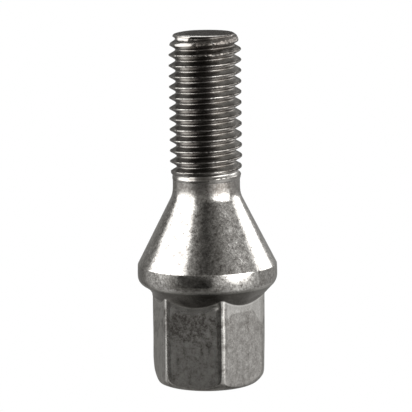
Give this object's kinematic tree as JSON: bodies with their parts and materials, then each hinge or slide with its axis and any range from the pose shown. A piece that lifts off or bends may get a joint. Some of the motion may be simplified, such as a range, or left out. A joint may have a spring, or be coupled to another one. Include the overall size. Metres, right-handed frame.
{
  "type": "wheel bolt",
  "caption": "Steel wheel bolt with a hexagon head, a rounded collar, a long conical seat and a coarse rolled thread.",
  "frame": {"origin": "centre of the flat disc on the head end, which is the surface the bolt stands on", "axes": "+Z along the bolt's axis from the head end to the thread tip; two corners of the hexagon lie on the X axis and two flats face -Y and +Y"},
  "size_m": [0.023, 0.023, 0.0582],
  "materials": {
    "steel": "dark grey, burnished in the press and rolling dies, with a fine mottled grain"
  },
  "bodies": {
    "root": {"wheel_bolt": "steel"}
  },
  "joints": []
}
